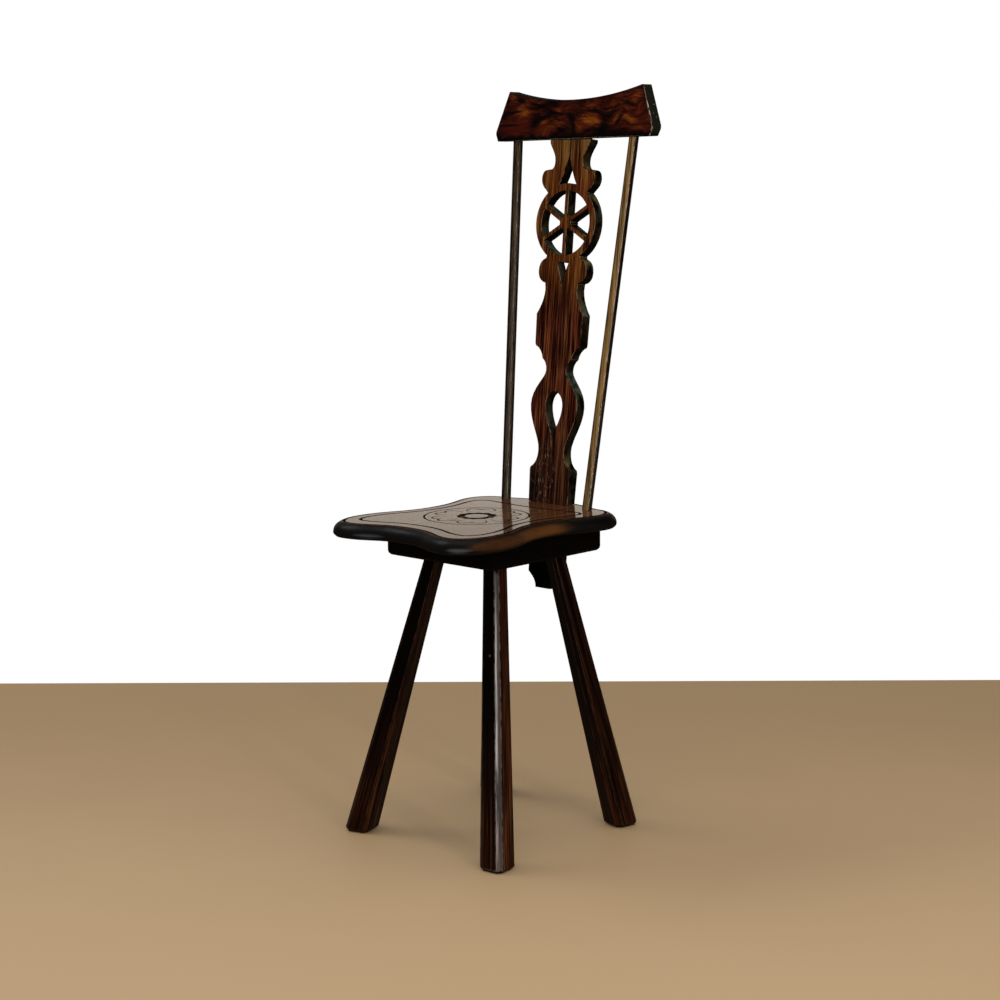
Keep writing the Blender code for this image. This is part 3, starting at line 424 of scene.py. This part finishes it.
def splat_look():
    look = Look("splat_oak", roughness=0.50, coat_roughness=0.08, specular=0.03)
    local = board_local(look)
    height = look.axis(local, "Z")
    fibre, pores = grain(look, local, across=1100.0, along=16.0)
    bands = look.noise(local, (150, 40, 3.0), detail=2.0, distortion=0.6)
    lines = look.between(look.noise(local, (520, 520, 16.0), detail=2.0), 0.38, 0.62)
    tone = look.blend(fibre, bands, 0.55)
    tone = look.maths("ADD", tone, look.maths("MULTIPLY", look.maths("SUBTRACT", lines, 0.5), 0.10))

    # Warmer from the wheel up, golden in the head, a red place on the wheel and brown at the foot
    warm = look.between(height, 0.24, 0.31)
    colour = look.mix(warm, look.ramp(tone, SPLAT_RED), look.ramp(tone, SPLAT_WARM))
    gold = look.both(look.between(height, 0.43, 0.46), look.between(tone, 0.44, 0.58))
    colour = look.tint(colour, gold, 0.65, SPLAT_GOLD)
    red = look.patch(local, *WHEEL_RED_PLACE, soft=0.7)
    colour = look.tint(colour, red, 0.60, WHEEL_RED)
    colour = look.mix(look.between(height, 0.13, 0.05), colour, look.ramp(tone, SPLAT_BROWN))

    # Dark streaks and pores, and pale glints low on the left
    for centre, size, turn in SPLAT_DARKS:
        streak = look.patch(local, centre, size, turn, soft=0.9)
        streak = look.both(streak, look.between(tone, 0.68, 0.51))
        colour = look.tint(colour, streak, 0.92, BLACK)
    colour = look.tint(colour, pores, 0.75, SPLAT_PORE)
    glint = look.between(look.noise(local, (1100, 1100, 120), detail=1.0, roughness=0.4), 0.64, 0.72)
    glint = look.both(glint, look.patch(local, *GLINT_PLACE))
    colour = look.mix(glint, colour, SPLAT_GLINT)

    # Sides, and the tail below the seat
    side = side_mask(look)
    colour = look.mix(side, colour, side_colour(look, local))
    under = look.depth(0.001, 0.004)
    look.colour(look.mix(under, colour, TAIL))
    look.vary("Coat Weight", look.maths("MAXIMUM", side, under), 0.25, 0.0)
    look.bump(look.maths("SUBTRACT", fibre, pores), 0.0002, 0.3)
    return look.material


def flowing(look, local, amount):
    # Coordinates pushed about by a wide noise, so that straight fibres run in swirls
    drift = look.noise(local, (20, 10, 26), detail=2.0, output="Color")
    shift = look.add("ShaderNodeVectorMath", operation="MULTIPLY_ADD")
    look.put(shift.inputs[0], drift)
    look.put(shift.inputs[1], (amount, 0.0, amount))
    look.put(shift.inputs[2], local)
    return shift.outputs["Vector"]


def crest_look():
    look = Look("crest_figured_oak", roughness=0.50, coat_roughness=0.08, specular=0.03)
    local = board_local(look, CREST_BOTTOM)
    swirls = flowing(look, local, 0.040)
    swirl = look.noise(swirls, (22, 10, 60), distortion=0.4)
    fibre = look.noise(swirls, (70, 60, 700), roughness=0.6)
    tone = look.blend(swirl, fibre, 0.60)

    # Orange and red places, the dark figure, and a ragged band of painted shade along the bottom
    light = 0.0
    for centre, size, turn in CREST_LIGHTS:
        light = look.maths("MAXIMUM", light, look.patch(local, centre, size, turn, soft=0.9))
    tone = look.maths("ADD", tone, look.maths("MULTIPLY", light, 0.070))
    colour = look.ramp(tone, CREST_FIGURE)
    red = look.patch(local, *CREST_RED_PLACE, soft=0.9)
    colour = look.tint(colour, red, 0.8, CREST_RED)
    ripples = flowing(look, local, 0.010)
    for centre, size, turn in CREST_DARKS:
        colour = look.tint(colour, look.patch(ripples, centre, size, turn, soft=0.75), 0.9, CREST_DARK)
    # Painted shade: a ragged dark band along the bottom
    ragged = look.maths("MULTIPLY", look.noise(local, (60, 10, 30)), 0.014)
    foot = look.between(look.maths("ADD", look.axis(local, "Z"), ragged), 0.0165, 0.0095)
    colour = look.mix(foot, colour, CREST_FOOT_SHADE)

    # Sides: black, with pale specks on the grey-green right end
    end = look.between(look.facing(RIGHT), 0.7, 0.95)
    sawn = look.mix(end, BLACK, CREST_END)
    speck = look.between(look.noise(local, (420, 420, 420), detail=1.0, roughness=0.3), 0.77, 0.79)
    sawn = look.mix(look.both(speck, end), sawn, CREST_SPECK)
    side = side_mask(look)
    look.colour(look.mix(side, colour, sawn))
    look.vary("Coat Weight", side, 0.04, 0.0)
    look.bump(fibre, 0.0002, 0.25)
    return look.material


def rod_look(name, wood, painted_light, coat):
    # Painted shade all round, and painted light in a lighter wood on the side that faces a direction
    look = Look(name, roughness=0.34, coat=coat, coat_roughness=0.06, specular=0.04)
    fibre, pores = grain(look, board_local(look), across=700.0, along=9.0)
    colour = look.ramp(fibre, (
        (0.40, tuple(0.35 * part for part in wood)),
        (0.50, wood),
        (0.60, tuple(1.7 * part for part in wood)),
    ))
    colour = look.tint(colour, pores, 0.6, PORE)
    # Painted light on the side that faces one way, painted shade on the rest
    front = look.between(look.facing(painted_light), 0.66, 0.88)
    look.colour(look.mix(front, ROD_SHADE, colour))
    look.bump(look.maths("SUBTRACT", fibre, pores), 0.0002, 0.4)
    return look.material


def carved_mask(look):
    # 1 on the steep walls of the lines and of the carved rose, 0 on the flat top and the rounded edge
    reach = look.measure("LENGTH", look.scaled(look.local((*SEAT_CENTRE, SEAT_TOP)), (1, 1, 0)))
    inside = look.between(reach, ROSE_REACH + 0.0030, ROSE_REACH)
    steep = look.between(look.facing(UP), 0.90, 0.84)
    wall = look.both(steep, look.depth(CARVING_DEPTH + 0.0002, CARVING_DEPTH))
    ledge = look.both(steep, look.depth(CARVING_DEPTH + 0.0010, CARVING_DEPTH + 0.0002))
    return look.maths("MAXIMUM", wall, look.both(inside, ledge))


def seat_edge_colour(look, local):
    # The rounded edge: near black, brown painted light to the right, and a grey painted reflection low in
    # front
    # Painted light: brown where the edge faces right
    right = look.between(look.facing(SEAT_RIGHT), 0.60, 0.90)
    right = look.both(right, look.depth(EDGE_LOW, EDGE_MIDDLE))
    right = look.both(right, look.between(look.axis(look.place, "Y"), 0.038, -0.005))
    cloud = look.between(look.noise(local, (30, 30, 12), roughness=0.6), 0.35, 0.62)
    brown = look.mix(cloud, EDGE_LIT_DARK_BROWN, EDGE_LIT_BROWN)
    colour = look.mix(right, SEAT_EDGE, brown)
    # Painted reflection: a grey patch low on the edge in front
    reflection = look.both(look.depth(EDGE_LOW, 0.0135), look.depth(0.0075, 0.0125))
    reflection = look.both(reflection, look.between(look.facing(SEAT_CORNER), 0.90, 0.995))
    return look.tint(colour, reflection, 0.8, EDGE_REFLECTION)


def seat_look():
    look = Look("seat_oak", coat_roughness=0.07, specular=0.11)
    local = look.local((*SEAT_CENTRE, SEAT_TOP), (math.radians(90), 0, 0))
    fibre, pores = grain(look, local, across=420.0, along=8.0)
    colour = look.tint(look.ramp(fibre, SEAT_OAK), pores, 0.6, PORE)

    # The top with its carving, the dull floors of lines in it, and places of painted shade over shallow
    # carving
    carved = carved_mask(look)
    level = look.between(look.facing(UP), 0.90, 0.97)
    top = look.both(look.depth(CARVING_DEPTH + 0.0006, CARVING_DEPTH), level)
    top = look.maths("MAXIMUM", top, carved)
    dull_and_shaded = look.both(look.depth(0.0008, 0.0014), top)
    # Painted shade over shallow carving
    for centre, size, turn, amount in SEAT_SHADES:
        shade = look.maths("MULTIPLY", look.patch(local, centre, size, turn, soft=0.9), amount)
        dull_and_shaded = look.maths("MAXIMUM", dull_and_shaded, shade)
    colour = look.tint(colour, dull_and_shaded, 0.8, DULL_POLISH_AND_SHADE)
    colour = look.mix(top, seat_edge_colour(look, local), colour)
    look.colour(look.mix(carved, colour, CARVED))

    # Polish on the top, and a trace of it on the upper half of the edge
    upper = look.depth(EDGE_MIDDLE, EDGE_MIDDLE / 2)
    gloss = look.maths("MAXIMUM", look.both(top, look.flip(dull_and_shaded)), look.maths("MULTIPLY", upper, 0.02))
    look.vary("Coat Weight", look.both(gloss, look.flip(carved)), 0.0, 1.0)
    look.vary("Roughness", look.maths("MAXIMUM", carved, look.flip(upper)), 0.46, 0.85)
    look.bump(look.both(look.maths("SUBTRACT", fibre, pores), top), 0.0001, 0.25)
    return look.material


def near_leg_marks(look, colour, local, across, fibre):
    # Adds a painted highlight streak down a chamfer's middle, strongest halfway up, a nick, and polish on
    # the chamfer
    height = look.axis(local, "Z")
    chamfer = look.between(look.facing(LEG_STREAK), 0.93, 0.985)
    middle = look.between(look.maths("ABSOLUTE", look.measure("DOT_PRODUCT", local, across)), 0.0030, 0.0004)
    # Painted highlight: a pale streak down the chamfer
    streak = look.both(look.both(chamfer, middle), look.between(fibre, 0.40, 0.56))
    streak = look.both(streak, look.between(height, -0.06, 0.16))
    streak = look.both(streak, look.between(height, 0.38, 0.24))
    colour = look.mix(streak, colour, STREAK_HIGHLIGHT)
    nick = look.between(look.measure("DISTANCE", look.place, LEG_NICK), 0.0026, 0.0008)
    look.vary("Coat Weight", chamfer, 0.04, 0.70)
    return look.mix(nick, colour, NICK_GREY)


def leg_look(name):
    # Stained dark, worn to brown towards the foot, and brown on the right side as painted light
    foot, top = LEGS[name]
    along = Vector((*top, BLOCK_UNDERSIDE)) - Vector((*foot, 0.0))
    turn = along.to_track_quat("Z", "Y")
    look = Look(name + "_oak", roughness=0.38, coat_roughness=0.12, specular=0.03)
    local = look.local((*foot, 0.0), turn.to_euler())
    fibre, pores = grain(look, local, across=480.0, along=7.0)
    bands = look.noise(local, (130, 130, 3.0), roughness=0.6)
    side, strength = NEAR_LEG_WEAR_AND_LIGHT if name == NEAR_LEG else LEG_WEAR_AND_LIGHT
    # Painted light: the right side is browner
    right = look.maths("MULTIPLY", look.between(look.facing(LEG_RIGHT), 0.55, 0.90), side)
    worn_and_lit = look.maths("ADD", right, look.between(look.axis(local, "Z"), 0.22, -0.08))
    worn_and_lit = look.both(worn_and_lit, look.between(bands, 0.36, 0.60))
    colour = look.tint(LEG_STAIN, worn_and_lit, strength, look.ramp(fibre, LEG_OAK))
    colour = look.tint(colour, pores, 0.6, BLACK)
    if name == NEAR_LEG:
        across = turn.inverted() @ along.normalized().cross(Vector(LEG_STREAK))
        colour = near_leg_marks(look, colour, local, across, fibre)
    look.colour(colour)
    look.bump(look.maths("SUBTRACT", fibre, pores), 0.0002, 0.35)
    return look.material


def leg_arris_look(name, painted_light):
    # Arrises of a leg: a painted highlight in broken lines on the side towards the front corner, dark
    # elsewhere
    look = Look(name, roughness=0.38, coat=0.1, coat_roughness=0.15, specular=0.05)
    broken = look.between(look.noise(look.place, (300, 300, 28), detail=4.0, roughness=0.6), 0.40, 0.60)
    # Painted highlight in broken lines on the arrises towards the front corner
    front = look.both(look.between(look.facing(LEG_CORNER), 0.55, 0.80), broken)
    look.colour(look.mix(front, LEG_ARRIS, painted_light))
    return look.material


def board_arris_look(name, painted_light):
    # Arrises of a raked board: a painted highlight in broken lines to the right, dark to the left and below
    # the seat
    look = Look(name, roughness=0.40, coat_roughness=0.2, specular=0.05)
    broken = look.between(look.noise(look.place, (300, 300, 35), detail=4.0, roughness=0.6), 0.38, 0.58)
    # Painted highlight in broken lines on the arrises that face right
    right = look.both(look.between(look.facing(BOARD_RIGHT), 0.70, 0.88), broken)
    right = look.both(right, look.depth(0.004, 0.0))
    look.colour(look.mix(right, BOARD_ARRIS, painted_light))
    return look.material


def block_look():
    look = Look("block_oak", roughness=0.6, coat_roughness=0.2, specular=0.02)
    local = look.local((0, 0, BLOCK_UNDERSIDE), (0, math.radians(90), 0))
    fibre, pores = grain(look, local, across=380.0, along=10.0)
    look.colour(look.mix(fibre, BLOCK_DARK, BLOCK_LIGHT))
    look.bump(look.maths("SUBTRACT", fibre, pores), 0.0003, 0.5)
    return look.material


def plain_wood_look():
    look = Look("hidden_oak", roughness=0.6, coat_roughness=0.2, specular=0.3)
    fibre = look.noise(look.place, (500, 500, 20))
    look.colour(look.mix(fibre, HIDDEN_DARK, HIDDEN_LIGHT))
    return look.material


def steel_look():
    look = Look("old_steel", roughness=0.42)
    look.put(look.shader.inputs["Metallic"], 1.0)
    rust = look.noise(look.place, (900, 900, 900), detail=4.0)
    look.colour(look.mix(look.between(rust, 0.5, 0.7), STEEL, RUST))
    look.bump(rust, 0.0001, 0.4)
    return look.material


def smooth_group(angle):
    # Smooth faces with sharp edges above an angle
    tree = bpy.data.node_groups.new("smooth_by_angle", "GeometryNodeTree")
    tree.interface.new_socket("Geometry", in_out="INPUT", socket_type="NodeSocketGeometry")
    tree.interface.new_socket("Geometry", in_out="OUTPUT", socket_type="NodeSocketGeometry")
    start = tree.nodes.new("NodeGroupInput")
    end = tree.nodes.new("NodeGroupOutput")
    plain = tree.nodes.new("GeometryNodeRemoveAttribute")
    plain.inputs["Name"].default_value = "custom_normal"
    faces = tree.nodes.new("GeometryNodeSetShadeSmooth")
    faces.domain = "FACE"
    faces.inputs[2].default_value = True
    edges = tree.nodes.new("GeometryNodeSetShadeSmooth")
    edges.domain = "EDGE"
    edges.inputs[2].default_value = False
    turn = tree.nodes.new("GeometryNodeInputMeshEdgeAngle")
    sharp = tree.nodes.new("FunctionNodeCompare")
    sharp.data_type = "FLOAT"
    sharp.operation = "GREATER_THAN"
    sharp.inputs[1].default_value = angle
    tree.links.new(start.outputs[0], plain.inputs[0])
    tree.links.new(plain.outputs[0], faces.inputs[0])
    tree.links.new(faces.outputs[0], edges.inputs[0])
    tree.links.new(turn.outputs["Unsigned Angle"], sharp.inputs[0])
    tree.links.new(sharp.outputs[0], edges.inputs[1])
    tree.links.new(edges.outputs[0], end.inputs[0])
    return tree


def dress(node, material, edge=None, ease=0.0, smooth=35.0):
    # Gives a CAD node its look, smooth curves and, where its arrises have a look, eased arrises
    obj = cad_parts[node]
    obj.data.materials.clear()
    obj.data.materials.append(material)
    weld = obj.modifiers.new("weld", "WELD")
    weld.merge_threshold = WELD_REACH
    if edge is not None:
        obj.data.materials.append(edge)
        flat = obj.modifiers.new("flat", "DECIMATE")
        flat.decimate_type = "DISSOLVE"
        flat.angle_limit = FLAT_ANGLE
    curves = obj.modifiers.new("smooth", "NODES")
    curves.node_group = smooth_group(math.radians(smooth))
    if edge is not None:
        soften = obj.modifiers.new("soften", "BEVEL")
        soften.width = ease
        soften.segments = 2
        soften.limit_method = "ANGLE"
        soften.angle_limit = math.radians(smooth)
        soften.use_clamp_overlap = False
        soften.harden_normals = True
        soften.material = 1


def dress_chair():
    splat_arris = board_arris_look("splat_arris", SPLAT_ARRIS_HIGHLIGHT)
    crest_arris = board_arris_look("crest_arris", CREST_ARRIS_HIGHLIGHT)
    near_arris = leg_arris_look("pale_leg_arris", NEAR_LEG_ARRIS_HIGHLIGHT)
    far_arris = leg_arris_look("brown_leg_arris", LEG_ARRIS_HIGHLIGHT)
    dress("seat", seat_look(), smooth=18.0)
    dress("splat", splat_look(), splat_arris, SPLAT_EASE)
    dress("crest_rail", crest_look(), crest_arris, CREST_EASE)
    for name, settings in RODS.items():
        dress(name, rod_look(name + "_oak", *settings))
    for name in LEGS:
        dress(name, leg_look(name), near_arris if name == NEAR_LEG else far_arris, LEG_EASE, 25.0)
    dress("under_block", block_look())
    hidden = plain_wood_look()
    steel = steel_look()
    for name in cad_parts:
        if name.startswith("leg_wedge"):
            dress(name, hidden)
        if "screw" in name:
            dress(name, steel)


def make_camera():
    data = bpy.data.cameras.new("camera")
    data.sensor_width = SENSOR
    data.lens = LENS
    camera = bpy.data.objects.new("camera", data)
    bpy.context.scene.collection.objects.link(camera)
    forward = Vector((
        -math.sin(CAMERA_TURN) * math.cos(CAMERA_PITCH),
        math.cos(CAMERA_TURN) * math.cos(CAMERA_PITCH),
        -math.sin(CAMERA_PITCH),
    ))
    level = Vector((math.cos(CAMERA_TURN), math.sin(CAMERA_TURN), 0.0))
    upright = level.cross(forward)
    right = math.cos(CAMERA_ROLL) * level + math.sin(CAMERA_ROLL) * upright
    up = -math.sin(CAMERA_ROLL) * level + math.cos(CAMERA_ROLL) * upright
    turn = Matrix((right, up, -forward)).transposed()
    camera.matrix_world = Matrix.Translation(CAMERA_PLACE) @ turn.to_4x4()
    bpy.context.scene.camera = camera


def make_floor():
    mesh = bpy.data.meshes.new("floor")
    side = FLOOR_REACH
    corners = [(-side, -side, 0), (side, -side, 0), (side, FLOOR_BACK, 0), (-side, FLOOR_BACK, 0)]
    mesh.from_pydata(corners, [], [(0, 1, 2, 3)])
    floor = bpy.data.objects.new("floor", mesh)
    floor.rotation_euler = (0, 0, CAMERA_TURN + FLOOR_TURN)
    bpy.context.scene.collection.objects.link(floor)
    look = Look("pale_floor", roughness=0.6, specular=0.3)
    cloud = look.maths("MULTIPLY", look.noise(look.place, (3, 3, 3), detail=4.0, roughness=0.6), 0.3)
    back = look.between(look.maths("ADD", look.axis(look.place, "Y"), cloud), -0.45, 0.85)
    look.colour(look.mix(back, FLOOR_NEAR, FLOOR_FAR))
    mesh.materials.append(look.material)


def make_world():
    # White for the camera and soft light for surfaces. Reflections show a lit wall behind the chair,
    # brightest near the floor, in a dark room.
    world = bpy.data.worlds.new("studio")
    bpy.context.scene.world = world
    world.use_nodes = True
    nodes = Nodes(world.node_tree)
    background = world.node_tree.nodes["Background"]
    path = nodes.add("ShaderNodeLightPath")
    direction = nodes.add("ShaderNodeTexCoord").outputs["Generated"]
    height = nodes.axis(direction, "Z")
    behind = nodes.measure("DOT_PRODUCT", direction, (-math.sin(CAMERA_TURN), math.cos(CAMERA_TURN), 0.0))
    wall = nodes.maths("MULTIPLY", nodes.between(behind, 0.70, 0.92), nodes.between(height, -0.02, 0.05))
    wall = nodes.maths("MULTIPLY", wall, nodes.between(height, 0.10, 0.21, WALL_LOW, WALL_HIGH, "LINEAR"))
    room = nodes.between(height, -0.1, 0.9, ROOM_LEVEL, ROOM_LEVEL * 2, "LINEAR")
    mirrored = nodes.maths("ADD", wall, room)
    glossy = nodes.maths("MAXIMUM", path.outputs["Is Glossy Ray"], path.outputs["Is Transmission Ray"])
    level = nodes.mix(glossy, SKY_LEVEL, mirrored, "FLOAT")
    nodes.put(background.inputs["Strength"], nodes.mix(path.outputs["Is Camera Ray"], level, 1.0, "FLOAT"))
    nodes.put(background.inputs["Color"], nodes.mix(glossy, (1.0, 1.0, 1.0), WALL_TINT))


def make_lamps():
    for name, (place, aim, size, power, colour) in LAMPS.items():
        data = bpy.data.lights.new(name, "AREA")
        data.shape = "RECTANGLE"
        data.size, data.size_y = size
        data.energy = power
        data.color = colour
        lamp = bpy.data.objects.new(name, data)
        lamp.location = place
        lamp.rotation_euler = (Vector(aim) - Vector(place)).to_track_quat("-Z", "Y").to_euler()
        lamp.visible_camera = False
        bpy.context.scene.collection.objects.link(lamp)


bpy.context.scene.view_settings.view_transform = "Standard"
make_camera()
make_floor()
make_world()
make_lamps()
dress_chair()
